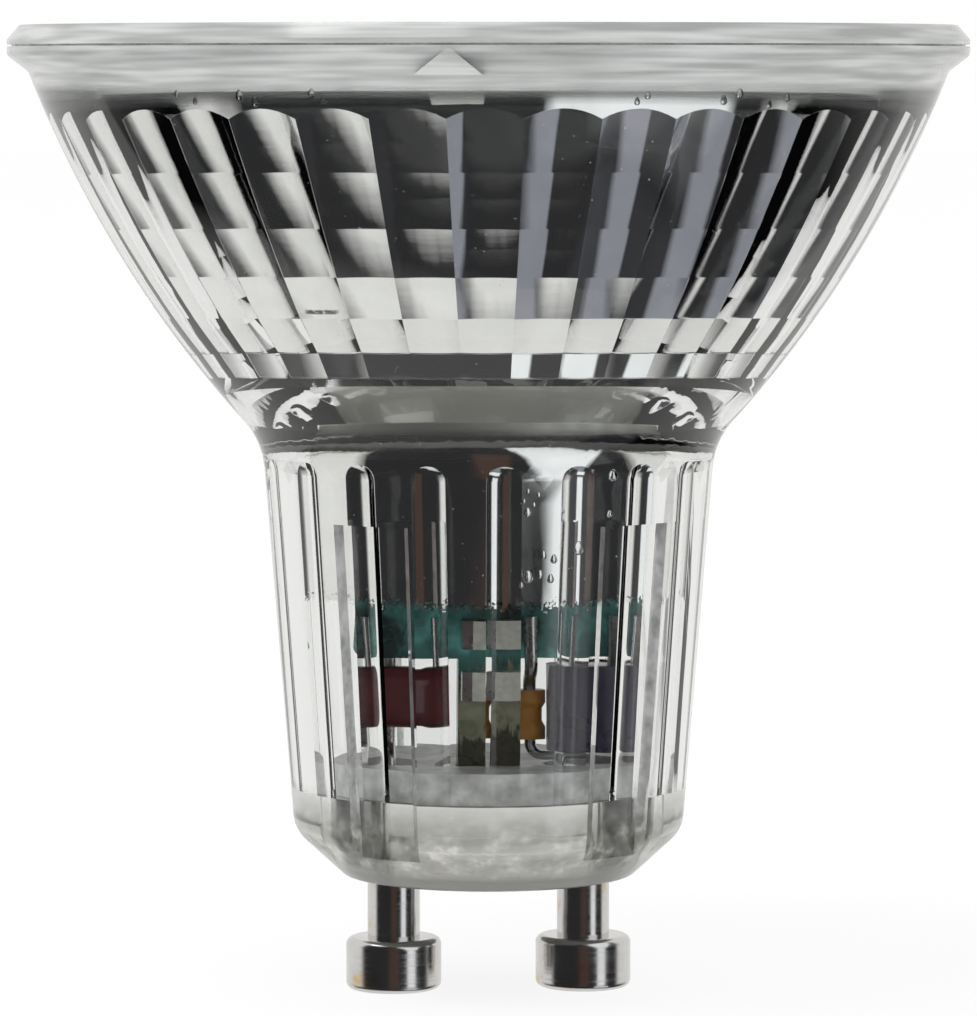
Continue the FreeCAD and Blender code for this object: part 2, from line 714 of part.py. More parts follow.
def make_light():
    """The metal board on the shelf, with its adhesive, the glowing disc and the dam round it."""
    seat = shelf_height + dim("film_gap") + dim("film_thickness") + dim("seat_clearance")
    board_low = seat + dim("pad_thickness") + dim("seat_clearance")
    board_high = board_low + dim("light_board_thickness")
    board_radius = step_foot - dim("light_board_clearance")
    pad_outer = board_radius - dim("light_board_clearance")
    tube_ring("heat_pad", pad_outer - dim("pad_width"), pad_outer, seat, seat + dim("pad_thickness"))
    body = turned("light_board", [(ZERO, board_low), (board_radius, board_low),
                                  (board_radius, board_high), (ZERO, board_high)])
    holes = new_sketch(body, "LeadHoles", "XY_Plane", board_high)
    for side in (1, -1):
        draw_circle(holes, dim("light_wire_place") * side, -(board_face + wire_radius),
                    wire_radius + dim("light_hole_clearance"))
    pocket(body, holes, dim("light_board_thickness"))
    emitter_radius = dim("emitter_diameter") / 2
    edge = board_high + dim("emitter_height")
    crown = dim("emitter_crown")
    curve = emitter_radius ** 2 / (crown * 2) + crown / 2
    turned("emitter_disc", [(ZERO, board_high), (emitter_radius, board_high), (emitter_radius, edge),
                            (ZERO, edge + crown)], arcs={2: (curve, -1)})
    tube_ring("emitter_dam", emitter_radius, emitter_radius + dim("dam_width"), board_high,
              board_high + dim("dam_height"))
    bend = dim("bend_radius")
    lies = board_high + wire_radius
    for side, name in ((1, "light_lead_right"), (-1, "light_lead_left")):
        start = dim("light_wire_place") * side
        turn_end = start - bend * side
        points = [(start, dim("light_wire_bottom")), (start, lies - bend), (turn_end, lies),
                  (turn_end - dim("light_wire_reach") * side, lies)]
        bent_lead(name, "XZ_Plane", board_face + wire_radius, points, {1: (bend, -side)}, wire_radius)


# Contact pins

def make_pins():
    """The two nickel-plated pins, riveted through the glass, each with a socket for its lead."""
    head = dim("pin_head_diameter") / 2
    top = dim("pin_head_height")
    collar_top = collar_foot + dim("pin_collar_height")
    collar = dim("pin_collar_diameter") / 2
    socket = lead_radius + dim("lead_fit")
    socket_foot = pin_end - dim("pin_bore_depth")
    for name, side in (("contact_pin_left", -1), ("contact_pin_right", 1)):
        body = turned(name, [
            (ZERO, ZERO), (head, ZERO), (head, top), (shank_radius, top), (shank_radius, collar_foot),
            (collar, collar_foot), (collar, collar_top), (shank_radius, collar_top),
            (shank_radius, pin_end), (socket, pin_end), (socket, socket_foot), (ZERO, socket_foot)])
        soft = dim("pin_head_fillet")
        round_rings(body, body.Tip, [(head, ZERO, soft), (head, top, soft)])
        bind(body, "Placement.Base.x", pin_place * side)


# Driver board

def make_board():
    """The driver board with its tongue, and the silicone that holds the tongue on the glass floor."""
    body = new_body("driver_board")
    sketch = new_sketch(body, "Outline", "XZ_Plane")
    half = dim("board_width") / 2
    tongue = dim("tongue_width") / 2
    foot = dim("tongue_bottom_height")
    top = dim("board_top_height")
    draw(sketch, [(-half, shoulder), (-tongue, shoulder), (-tongue, foot), (tongue, foot),
                  (tongue, shoulder), (half, shoulder), (half, top), (-half, top)])
    base = pad(body, sketch, dim("board_thickness"), midplane=True)
    doc.recompute()

    def upright_corner(edge):
        ends = [vertex.Point for vertex in edge.Vertexes]
        across = abs((ends[1] - ends[0]).normalize().y) > 1 - NEAR
        return across and abs(abs(ends[0].x) - half.value) < NEAR
    fillet(body, base, edges_where(base, upright_corner), dim("board_corner"))

    low = floor_height + dim("seat_clearance")
    radius = line_radius(BORE_FOOT, BORE_TOP, floor_height) - dim("panel_rise") - dim("potting_clearance")
    high = low + dim("potting_height")
    climb = dim("potting_crown")
    curve = radius ** 2 / (climb * 2) + climb / 2
    potting = turned("board_potting", [(ZERO, low), (radius, low), (radius, high + climb), (ZERO, high)],
                     arcs={2: (curve, 1)})
    gap = dim("part_clearance")
    above = high + climb
    sketch = new_sketch(potting, "PinRoom", "XY_Plane", above)
    for side in (1, -1):
        draw_circle(sketch, pin_place * side, ZERO, dim("pin_collar_diameter") / 2 + gap)
    pocket(potting, sketch, above - low)
    sketch = new_sketch(potting, "TongueRoom", "XY_Plane", above)
    draw_rectangle(sketch, -(tongue + gap), tongue + gap, -(board_face + gap), board_face + gap)
    pocket(potting, sketch, above - foot + gap)


def straight_leads(label, places, low, high):
    """Leads that lie upright on the front face of the board."""
    leads = []
    for number, across in enumerate(places):
        body = new_body(f"{label}_{number}")
        sketch = new_sketch(body, "Section", "XY_Plane", low)
        draw_circle(sketch, across, -lead_line, lead_radius)
        pad(body, sketch, high - low)
        leads.append(body)
    return group(label, leads)


def make_film_capacitor():
    """The dipped film capacitor that hangs below the shoulder of the board, left of its tongue."""
    body = new_body("film_capacitor")
    half = dim("film_cap_width") / 2
    depth = dim("film_cap_depth") / 2
    high = shoulder - dim("lead_gap")
    low = high - dim("film_cap_height")
    sketch = new_sketch(body, "Outline", "XY_Plane", low)
    place = dim("film_cap_place")
    middle = -lead_line
    draw_rectangle(sketch, -(place + half), -(place - half), middle - depth, middle + depth)
    base = pad(body, sketch, dim("film_cap_height"))
    doc.recompute()
    fillet(body, base, edges_where(base, lambda edge: True), dim("film_cap_fillet"))
    pitch = dim("film_cap_pitch") / 2
    straight_leads("film_capacitor_leads", [-(place - pitch), -(place + pitch)], high,
                   shoulder + dim("lead_run"))


def make_can_capacitor():
    """The electrolytic capacitor, right of the tongue: its can, its sleeve and its leads."""
    radius = dim("can_diameter") / 2
    high = shoulder - dim("lead_gap")
    low = high - dim("can_height")
    wall = dim("sleeve_wall")
    lap = radius - dim("sleeve_lap")
    can = turned("capacitor_can", [(ZERO, low), (radius, low), (radius, high), (ZERO, high)])
    round_rings(can, can.Tip, [(radius, low, dim("can_fillet"))])
    sleeve = turned("capacitor_sleeve", [
        (lap, low - wall), (radius + wall, low - wall), (radius + wall, high + wall), (lap, high + wall),
        (lap, high), (radius, high), (radius, low), (lap, low)])
    for piece in (can, sleeve):
        bind(piece, "Placement.Base.x", dim("can_place"))
        bind(piece, "Placement.Base.y", -lead_line)
    pitch = dim("can_pitch") / 2
    straight_leads("capacitor_can_leads", [dim("can_place") - pitch, dim("can_place") + pitch], high,
                   shoulder + dim("lead_run"))


def make_fuse():
    """The fusible resistor between the right pin and the board, with its two bent leads."""
    radius = dim("fuse_diameter") / 2
    low = dim("fuse_bottom_height")
    high = low + dim("fuse_length")
    cap = dim("fuse_length") / 4
    slope = cap / 2
    waist = radius - dim("fuse_waist")
    body = turned("fuse_resistor", [
        (ZERO, low), (radius, low), (radius, low + cap), (waist, low + cap + slope),
        (waist, high - cap - slope), (radius, high - cap), (radius, high), (ZERO, high)])
    bind(body, "Placement.Base.x", dim("fuse_place"))
    bend = dim("bend_radius")
    upper = jogged_lead("fuse_lead_upper", dim("fuse_place"), -1, high, high + dim("lead_fit"),
                        shoulder + dim("lead_run"))
    level = pin_end + bend
    lower = bent_lead("fuse_lead_lower", "XZ_Plane", ZERO, [
        (pin_place, pin_end - dim("pin_bore_depth") / 2), (pin_place, pin_end), (pin_place - bend, level),
        (dim("fuse_place") + bend, level), (dim("fuse_place"), level + bend), (dim("fuse_place"), low)],
        {1: (bend, -1), 3: (bend, 1)}, lead_radius)
    group("fuse_leads", [upper, lower])


def make_mains_lead():
    """The lead from the left pin to the back of the board."""
    jogged_lead("mains_lead", -pin_place, 1, pin_end - dim("pin_bore_depth") / 2, pin_end,
                dim("mains_wire_top"))


def make_choke():
    """The choke on the back of the board: a drum core with two flanges, and its copper winding."""
    flange = dim("coil_diameter") / 2
    post = dim("coil_post_diameter") / 2
    low = dim("coil_bottom_height")
    high = low + dim("coil_height")
    sheet_low = low + dim("coil_flange")
    sheet_high = high - dim("coil_flange")
    core = turned("choke_core", [
        (ZERO, low), (flange, low), (flange, sheet_low), (post, sheet_low), (post, sheet_high),
        (flange, sheet_high), (flange, high), (ZERO, high)])
    gap = dim("part_clearance")
    wire = dim("coil_wire")
    outer = flange - dim("coil_inset")
    foot = sheet_low + gap
    turns = int((sheet_high.value - sheet_low.value - 2 * gap.value) // wire.value)
    points = [(post + gap, foot)]
    for turn in range(turns):
        points.append((outer - wire / 2, foot + wire * turn))
        points.append((outer, foot + wire * (turn + 0.5)))
    points.append((outer - wire / 2, foot + wire * turns))
    points.append((post + gap, foot + wire * turns))
    winding = turned("choke_winding", points)
    for piece in (core, winding):
        bind(piece, "Placement.Base.x", dim("coil_place"))
        bind(piece, "Placement.Base.y", board_face + flange + gap)


def chip(label, height, front):
    """A moulded chip on one face of the board, with sloped sides, and the legs along its edges."""
    side = -1 if front else 1
    face = board_face * side
    width = dim("chip_width") / 2
    length = dim("chip_length") / 2
    low = face + dim("chip_standoff") * side
    middle = low + dim("chip_height") / 2 * side
    high = low + dim("chip_height") * side
    draft = dim("chip_draft")
    body = new_body(label)
    sketch = new_sketch(body, "Section", "YZ_Plane")
    bottom = height - length
    top = height + length
    draw(sketch, [(low, bottom + draft), (middle, bottom), (high, bottom + draft),
                  (high, top - draft), (middle, top), (low, top - draft)])
    pad(body, sketch, dim("chip_width"), midplane=True)
    legs = []
    thin = dim("leg_sheet")
    for edge in (1, -1):
        inner = width * edge
        outer = inner + dim("leg_reach") * edge
        bend = inner + dim("leg_reach") / 2 * edge
        for number in LEG_STEPS:
            leg = new_body(f"{label}_leg")
            at = height + dim("leg_pitch") * number - dim("leg_width") / 2
            section = new_sketch(leg, "Section", "XY_Plane", at)
            upper = middle
            lower = middle - thin * side
            foot = face + thin * side
            draw(section, [(inner, upper), (bend + thin / 2 * edge, upper), (bend + thin / 2 * edge, foot),
                           (outer, foot), (outer, face), (bend - thin / 2 * edge, face),
                           (bend - thin / 2 * edge, lower), (inner, lower)])
            pad(leg, section, dim("leg_width"))
            legs.append(leg)
    return legs


def make_chips():
    """The rectifier on the front of the board and the driver chip on its back."""
    legs = chip("rectifier", dim("rectifier_height"), True)
    legs += chip("driver_chip", dim("driver_chip_height"), False)
    group("chip_legs", legs)


def make_small_components():
    """Two small chip components on the front of the board, with their metal ends."""
    bodies = []
    ends = []
    half = dim("smd_length") / 2
    end = dim("smd_end")
    front = -(board_face + dim("smd_depth"))
    for height in (dim("smd_low_height"), dim("smd_high_height")):
        low = height - dim("smd_width") / 2
        bodies.append(block("smd_body", (-(half - end), front, low),
                            (dim("smd_length") - end * 2, dim("smd_depth"), dim("smd_width"))))
        for left in (-half, half - end):
            ends.append(block("smd_end", (left, front, low), (end, dim("smd_depth"), dim("smd_width"))))
    group("chip_components", bodies)
    group("chip_component_ends", ends)


NODES = [
    "glass_body", "mirror_film", "front_lens", "lens_seal", "heat_pad", "light_board", "emitter_disc",
    "emitter_dam", "light_lead_left", "light_lead_right", "contact_pin_left", "contact_pin_right",
    "driver_board", "board_potting", "film_capacitor", "film_capacitor_leads", "capacitor_can",
    "capacitor_sleeve", "capacitor_can_leads", "fuse_resistor", "fuse_leads", "mains_lead", "choke_core",
    "choke_winding", "rectifier", "driver_chip", "chip_legs", "chip_components", "chip_component_ends",
]


def write_nodes():
    """Checks every object and every sub-part, then writes each sub-part to its own file."""
    failed = [item.Label for item in doc.Objects if {"Invalid", "Error"} & set(item.State)]
    if failed:
        raise RuntimeError(f"these objects failed: {failed}")
    pieces = {label: doc.getObjectsByLabel(label)[0] for label in NODES}
    for label, piece in pieces.items():
        if piece.Shape.isNull() or not piece.Shape.isValid() or not piece.Shape.Solids:
            raise RuntimeError(f"{label} has no valid shape")
    os.makedirs("parts", exist_ok=True)
    for label, piece in pieces.items():
        piece.Shape.exportStep(f"parts/{label}.step")
        print(label, len(piece.Shape.Solids), round(piece.Shape.Volume, 2))


make_glass()
make_lens()
make_light()
make_pins()
make_board()
make_film_capacitor()
make_can_capacitor()
make_fuse()
make_mains_lead()
make_choke()
make_chips()
make_small_components()
doc.recompute()
write_nodes()
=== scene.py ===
import math

import bpy
from bpy.props import FloatProperty, FloatVectorProperty, PointerProperty
from bpy.types import Operator, Panel, PropertyGroup
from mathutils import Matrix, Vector


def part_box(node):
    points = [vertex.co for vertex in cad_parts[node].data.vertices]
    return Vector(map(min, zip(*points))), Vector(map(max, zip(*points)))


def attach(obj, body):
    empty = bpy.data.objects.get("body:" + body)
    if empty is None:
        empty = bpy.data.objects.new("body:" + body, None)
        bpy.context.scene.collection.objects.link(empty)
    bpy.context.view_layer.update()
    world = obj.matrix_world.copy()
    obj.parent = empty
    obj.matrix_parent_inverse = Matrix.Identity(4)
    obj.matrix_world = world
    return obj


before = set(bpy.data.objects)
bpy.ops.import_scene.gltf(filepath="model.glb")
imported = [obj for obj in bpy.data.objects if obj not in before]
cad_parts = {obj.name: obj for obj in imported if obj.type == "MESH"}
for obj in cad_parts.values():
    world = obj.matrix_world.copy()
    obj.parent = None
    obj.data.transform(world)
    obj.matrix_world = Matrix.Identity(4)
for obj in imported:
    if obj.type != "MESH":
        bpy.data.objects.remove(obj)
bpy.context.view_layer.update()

bl_info = {
    "name": "Glass Spotlight Bulb",
    "version": (1, 0, 0),
    "blender": (4, 5, 0),
    "location": "3D View > Sidebar > Bulb",
    "description": "Finishes a glass spotlight bulb with a twist-lock pin base, and sets its studio",
    "category": "Object",
}

MILLIMETRE = 0.001
WHITE = (1.0, 1.0, 1.0)
GLASS_IOR = 1.5
ADHESIVE_IOR = 1.42
SEED_IOR = (0.66, 0.675)
# where a finish fades in or out: heights above the ends of the pins, in millimetres
FOOT_TOP = (6.7, 7.5)
BASE_TOP = (8.6, 11.0)
FLUX_TOP = (13.4, 13.8)
TONGUE_TOP = (16.6, 17.2)
NECK_TOP = (29.0, 30.0)
SHELF_FOOT = (30.4, 31.2)
SHELF_TOP = (33.3, 33.45)
FILM_FEATHER = 2.2
# where the cloudy rim begins, a painted light standing in for light through the glass edge: distance from the axis
# and height, in millimetres
BODY_RIM = (20.0, 47.4)
LENS_RIM = (21.8, 48.0)
# how far a wall's normal faces round the axis, as a share, where it turns cloudy and pale: painted light over the
# dark stripes of the slot walls
SIDE_FACING = (0.72, 0.88)
# the scratch in the film: distance to the left of the axis, height, half length and half width, in millimetres
SCRATCH_LEFT = 9.0
SCRATCH_HEIGHT = 36.7
SCRATCH_ENDS = (0.6, 0.8)
SCRATCH_SIDES = (0.07, 0.13)
# a bubble's shape: flattened by the press, then drawn out above this height
SEED_PRESSED = (1.0, 0.55, 1.1)
SEED_DRAWN = (0.8, 0.8, 1.25)
SEED_SHOULDER = 0.2
# bubbles in the glass: degrees to the right of the front, height, distance from the axis and size, in millimetres
SEEDS = ((6.0, 25.9, 10.4, 0.21), (8.9, 26.8, 10.5, 0.12), (7.7, 26.3, 10.4, 0.11), (13.5, 23.5, 10.3, 0.20),
         (20.7, 24.0, 10.3, 0.30), (30.3, 27.7, 10.6, 0.30), (29.7, 25.7, 10.5, 0.18), (6.3, 22.6, 10.3, 0.27),
         (12.6, 22.5, 10.3, 0.20), (4.4, 22.2, 10.3, 0.13), (-46.7, 47.2, 22.4, 0.16), (-36.8, 47.1, 22.4, 0.24),
         (-26.7, 47.2, 22.4, 0.20), (15.2, 47.1, 22.4, 0.17), (27.9, 47.2, 22.4, 0.22), (35.4, 47.0, 22.4, 0.18))
# where the dark room ends and the paper under the bulb begins: degrees to the right, degrees below level
ROOM_EDGE = ((-180, 0), (-135, 0), (-122, 32), (-110, 38), (-96, 46), (-80, 53), (-70, 57), (-50, 62), (-30, 65.5),
             (0, 67.5), (50, 66), (100, 60), (125, 30), (150, 0), (180, 0))
# patches of the surroundings: middle and half width, lower and upper end, in degrees
WOOD_PATCH = (-3.0, 12.0, -40.0, 20.0)
HAZE_PATCH = (72.0, 36.0, -64.0, -50.0)
LOW_WINDOW = (47.0, 20.0, -47.0, -32.0)
HIGH_WINDOW = (40.0, 10.0, -26.0, 60.0)
PATCH_SOFTNESS = 2.0
# the high window grows wider above this level, by this share, in degrees
WINDOW_BEND = -9.0
WINDOW_SPREAD = 0.5
# where the paper beside, behind and above the bulb begins, in degrees
PAPER_BESIDE = (80.0, 92.0)
PAPER_LEVEL = (-30.0, -12.0)
PAPER_BEHIND = (122.0, 136.0)
PAPER_ABOVE = (45.0, 60.0)
ROOM_SOFTNESS = (-0.02, 0.03)
FLOOR_GLOW = 0.85
SENSOR_WIDTH = 36.0
LAMP_PLACE = (-0.25, -0.15, 0.7)


def tint(label, text, default):
    """A colour that a user can change."""
    return FloatVectorProperty(name=label, description=text, subtype="COLOR", size=3, min=0.0, max=1.0,
                               default=default)


def length(label, text, default):
    """A length that a user can change, in metres."""
    return FloatProperty(name=label, description=text, subtype="DISTANCE", unit="LENGTH", default=default)


class BulbFinishes(PropertyGroup):
    """Colours of the bulb's finishes."""

    glass: tint("Glass", "Clear pressed glass", (0.985, 0.995, 0.988))
    # painted light: the rim colour is a pale grey painted on the rim and the lens edge, standing in for light coming
    # through the glass edge; the adhesive is tinted from it too
    rim: tint("Rim", "Cloudy glass of the rim and the lens edge", (0.64, 0.66, 0.645))
    base: tint("Base", "Mottled thick glass of the base", (0.50, 0.50, 0.46))
    mirror: tint("Mirror", "Bright film inside the bowl", (0.90, 0.90, 0.89))
    satin: tint("Satin film", "Duller film on the shelf and in the funnel", (0.93, 0.93, 0.85))
    scratch: tint("Scratch", "Brown scratch in the film", (0.055, 0.030, 0.018))
    nickel: tint("Nickel", "Plating of the pins", (0.72, 0.71, 0.70))
    brass: tint("Brass", "Metal under the worn plating", (0.66, 0.50, 0.27))
    tin: tint("Tin", "Leads, legs and chip ends", (0.72, 0.72, 0.71))
    board: tint("Board", "Lacquered laminate", (0.05, 0.20, 0.18))
    tongue: tint("Tongue", "Bare laminate of the board's tongue", (0.24, 0.25, 0.16))
    silicone: tint("Silicone", "Potting, dam and heat paste", (0.74, 0.75, 0.74))
    maroon: tint("Maroon", "Dipped capacitor", (0.10, 0.018, 0.02))
    sleeve: tint("Sleeve", "Shrink sleeve of the can", (0.035, 0.03, 0.06))
    amber: tint("Amber", "Lacquer of the resistor", (0.45, 0.20, 0.03))
    copper: tint("Copper", "Enamelled winding", (0.55, 0.20, 0.07))
    ferrite: tint("Ferrite", "Core of the choke", (0.035, 0.035, 0.038))
    moulding: tint("Moulding", "Chip cases", (0.02, 0.02, 0.022))
    ceramic: tint("Ceramic", "Bodies of the chip components", (0.56, 0.55, 0.50))
    phosphor: tint("Phosphor", "Glowing disc, unlit", (0.86, 0.58, 0.08))
    lacquer: tint("White lacquer", "Light board and lead insulation", (0.84, 0.84, 0.82))


class BulbStage(PropertyGroup):
    """Camera and studio."""

    distance: length("Camera distance", "From the bulb's axis to the camera", 0.300)
    height: length("Camera height", "Above the ends of the pins", 0.0484)
    aim: length("Aim height", "Point of the axis in the middle of the picture", 0.0253)
    floor: length("Floor size", "Side of the floor", 6.0)
    turn: FloatProperty(name="Camera turn", description="From the front of the bulb", subtype="ANGLE",
                        default=math.radians(-4.6))
    lens: FloatProperty(name="Lens", description="Focal length", unit="CAMERA", default=203.5)
    lamp_size: length("Lamp size", "Side of the soft lamp", 0.4)
    lamp_power: FloatProperty(name="Lamp power", description="Power of the soft lamp", unit="POWER", default=2.0)
    paper: tint("Paper", "Floor and background", (0.98, 0.98, 0.98))
    sweep: tint("Paper sweep", "What the bulb mirrors behind and below", (0.84, 0.835, 0.82))
    room: tint("Dark room", "What the front of the bulb mirrors", (0.028, 0.028, 0.030))
    wood: tint("Wood", "Brown furniture in the dark room", (0.075, 0.048, 0.040))
    haze: tint("Haze", "Lit wall under the window", (0.28, 0.285, 0.33))
    window: tint("Window", "Soft light at the right", (0.96, 0.98, 1.0))


def start_material(name):
    """A material with a principled shader, and Object coordinates that place its patterns."""
    material = bpy.data.materials.new(name)
    material.use_nodes = True
    tree = material.node_tree
    place = tree.nodes.new("ShaderNodeTexCoord").outputs["Object"]
    return material, tree, tree.nodes["Principled BSDF"], place


def stretch(tree, place, scale):
    """The same place, scaled along each axis."""
    mapping = tree.nodes.new("ShaderNodeMapping")
    mapping.inputs["Scale"].default_value = scale
    tree.links.new(place, mapping.inputs["Vector"])
    return mapping.outputs["Vector"]


def noise(tree, place, grain, detail=3.0, rough=0.5):
    """Cloudy noise whose patches are about one grain across, in millimetres."""
    texture = tree.nodes.new("ShaderNodeTexNoise")
    texture.inputs["Scale"].default_value = 1.0 / (grain * MILLIMETRE)
    texture.inputs["Detail"].default_value = detail
    texture.inputs["Roughness"].default_value = rough
    tree.links.new(place, texture.inputs["Vector"])
    return texture.outputs["Fac"]


def spread(tree, value, low, high, start=0.3, stop=0.7):
    """A value moved from one range into another."""
    node = tree.nodes.new("ShaderNodeMapRange")
    for name, number in (("From Min", start), ("From Max", stop), ("To Min", low), ("To Max", high)):
        node.inputs[name].default_value = number
    tree.links.new(value, node.inputs["Value"])
    return node.outputs["Result"]


def shades(tree, value, stops):
    """A colour ramp; stops are (position, colour)."""
    node = tree.nodes.new("ShaderNodeValToRGB")
    elements = node.color_ramp.elements
    while len(elements) < len(stops):
        elements.new(1.0)
    for element, (position, color) in zip(elements, stops):
        element.position = position
        element.color = (*color, 1.0)
    tree.links.new(value, node.inputs["Fac"])
    return node.outputs["Color"]


def math_node(tree, operation, first, second=None):
    """One step of arithmetic on sockets or numbers."""
    node = tree.nodes.new("ShaderNodeMath")
    node.operation = operation
    for slot, value in zip(node.inputs, (first, second)):
        if isinstance(value, (int, float)):
            slot.default_value = value
        elif value is not None:
            tree.links.new(value, slot)
    return node.outputs["Value"]


def blend(tree, share, first, second):
    """Two colours, mixed by a socket; each is a socket or a constant."""
    node = tree.nodes.new("ShaderNodeMix")
    node.data_type = "RGBA"
    tree.links.new(share, node.inputs["Factor"])
    for name, color in (("A", first), ("B", second)):
        if isinstance(color, bpy.types.NodeSocket):
            tree.links.new(color, node.inputs[name])
        else:
            node.inputs[name].default_value = (*color, 1.0)
    return node.outputs["Result"]


def bump(tree, shader, height, strength, rise):
    """Raises the surface by a pattern, rise in millimetres."""
    node = tree.nodes.new("ShaderNodeBump")
    node.inputs["Strength"].default_value = strength
    node.inputs["Distance"].default_value = rise * MILLIMETRE
    tree.links.new(height, node.inputs["Height"])
    tree.links.new(node.outputs["Normal"], shader.inputs["Normal"])


def shift(color, factor):
    """A colour made darker or lighter."""
    return tuple(min(1.0, part * factor) for part in color)


def dress(material, *names):
    """Gives CAD nodes their finish."""
    for name in names:
        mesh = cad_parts[name].data
        mesh.materials.clear()
        mesh.materials.append(material)


def from_axis(tree, place):
    """How far a place is from the bulb's axis, and its height, in millimetres."""
    split = tree.nodes.new("ShaderNodeSeparateXYZ")
    tree.links.new(place, split.inputs["Vector"])
    east, north, up = split.outputs
    square = math_node(tree, "ADD", math_node(tree, "MULTIPLY", east, east),
                       math_node(tree, "MULTIPLY", north, north))
    return (math_node(tree, "DIVIDE", math_node(tree, "SQRT", square), MILLIMETRE),
            math_node(tree, "DIVIDE", up, MILLIMETRE))


def side_walls(tree, place, away, height):
    """Marks the walls of the neck that face round the axis: the sides of the guide slots and of the panels."""
    spot = tree.nodes.new("ShaderNodeSeparateXYZ")
    tree.links.new(place, spot.inputs["Vector"])
    facing = tree.nodes.new("ShaderNodeSeparateXYZ")
    tree.links.new(tree.nodes.new("ShaderNodeNewGeometry").outputs["True Normal"], facing.inputs["Vector"])
    moment = math_node(tree, "SUBTRACT", math_node(tree, "MULTIPLY", facing.outputs["Y"], spot.outputs["X"]),
                       math_node(tree, "MULTIPLY", facing.outputs["X"], spot.outputs["Y"]))
    round_axis = math_node(tree, "DIVIDE", math_node(tree, "ABSOLUTE", moment), away)
    sides = spread(tree, round_axis, 0.0, 1.0, *(share * MILLIMETRE for share in SIDE_FACING))
    return math_node(tree, "MULTIPLY", sides, spread(tree, height, 1.0, 0.0, *NECK_TOP))


def glass_finish(name, colors, rim_radius, rim_height):
    """Clear pressed glass: slightly wavy, mottled in the thick base, darker and nearly opaque at the foot; painted
    light makes the rim and the walls of the slots pale and cloudy: the rim's pale grey stands in for light coming
    through the glass edge, and the walls are painted pale over the dark stripes the clear glass shows there.
    """
    material, tree, shader, place = start_material(name)
    shader.inputs["IOR"].default_value = GLASS_IOR
    away, height = from_axis(tree, place)
    rim = math_node(tree, "MULTIPLY", spread(tree, away, 0.0, 1.0, rim_radius - 0.4, rim_radius + 0.2),
                    spread(tree, height, 0.0, 1.0, rim_height - 0.3, rim_height + 0.2))
    base = spread(tree, height, 1.0, 0.0, *BASE_TOP)
    foot = spread(tree, height, 1.0, 0.0, *FOOT_TOP)
    walls = side_walls(tree, place, away, height)
    streaks = noise(tree, stretch(tree, place, (0.06, 0.06, 1.0)), 0.4, 1.0, 0.6)
    mottle = noise(tree, place, 1.1, 2.0, 0.7)
    clear = shades(tree, mottle, [(0.3, shift(colors.glass, 0.985)), (0.7, colors.glass)])
    # painted light: pale grey streaks on the rim, standing in for light coming through the glass edge
    painted_rim_light = shades(tree, streaks, [(0.35, shift(colors.rim, 0.9)), (0.5, colors.rim),
                                   (0.66, shift(colors.rim, 1.15))])
    stone = shades(tree, mottle, [(0.4, shift(colors.base, 0.8)), (0.55, colors.base),
                                  (0.66, shift(colors.base, 1.4))])
    stone = blend(tree, foot, stone, shift(colors.base, 0.36))
    tree.links.new(blend(tree, base, blend(tree, rim, clear, painted_rim_light), stone), shader.inputs["Base Color"])
    # painted light: the rim is made cloudy so that its painted pale grey shows; the base is cloudy by its mottle
    veil_and_painted_light = math_node(tree, "ADD", math_node(tree, "MULTIPLY", rim, spread(tree, streaks, 0.5, 0.7)),
                     math_node(tree, "MULTIPLY", base, spread(tree, mottle, 0.08, 0.4)))
    # painted light: the walls facing round the axis are made cloudy and pale over the dark stripes that the clear
    # slot walls show
    veil_and_painted_light = math_node(tree, "MAXIMUM", veil_and_painted_light, math_node(tree, "MULTIPLY", walls, spread(tree, mottle, 0.3, 0.6)))
    veil_and_painted_light = math_node(tree, "MAXIMUM", veil_and_painted_light, math_node(tree, "MULTIPLY", foot, 0.8))
    tree.links.new(math_node(tree, "SUBTRACT", 1.0, veil_and_painted_light), shader.inputs["Transmission Weight"])
    dull = math_node(tree, "MULTIPLY", math_node(tree, "ADD", rim, base), spread(tree, mottle, 0.08, 0.14))
    tree.links.new(dull, shader.inputs["Roughness"])
    bump(tree, shader, noise(tree, place, 3.5, 0.0), 0.1, 0.08)
    return material


def solid_finish(name, color, rough, grain=0.6, rise=0.02, metal=0.0, vary=0.8):
    """A plain solid finish whose shade, gloss and surface vary at the size of its grain."""
    material, tree, shader, place = start_material(name)
    shader.inputs["Metallic"].default_value = metal
    cloud = noise(tree, place, grain, 4.0)
    tree.links.new(shades(tree, cloud, [(0.3, shift(color, vary)), (0.7, color)]), shader.inputs["Base Color"])
    tree.links.new(spread(tree, noise(tree, place, grain * 2), rough * 0.75, rough * 1.25),
                   shader.inputs["Roughness"])
    bump(tree, shader, noise(tree, place, grain / 2, 4.0), 0.3, rise)
    return material


def seed_finish(colors):
    """The air in a bubble, which bends light less than the glass round it."""
    material, tree, shader, place = start_material("seed_air")
    shader.inputs["Transmission Weight"].default_value = 1.0
    cloud = noise(tree, place, 0.3, 1.0)
    tree.links.new(spread(tree, cloud, *SEED_IOR), shader.inputs["IOR"])
    tree.links.new(shades(tree, cloud, [(0.3, shift(colors.glass, 0.95)), (0.7, colors.glass)]),
                   shader.inputs["Base Color"])
    shader.inputs["Roughness"].default_value = 0.0
    return material


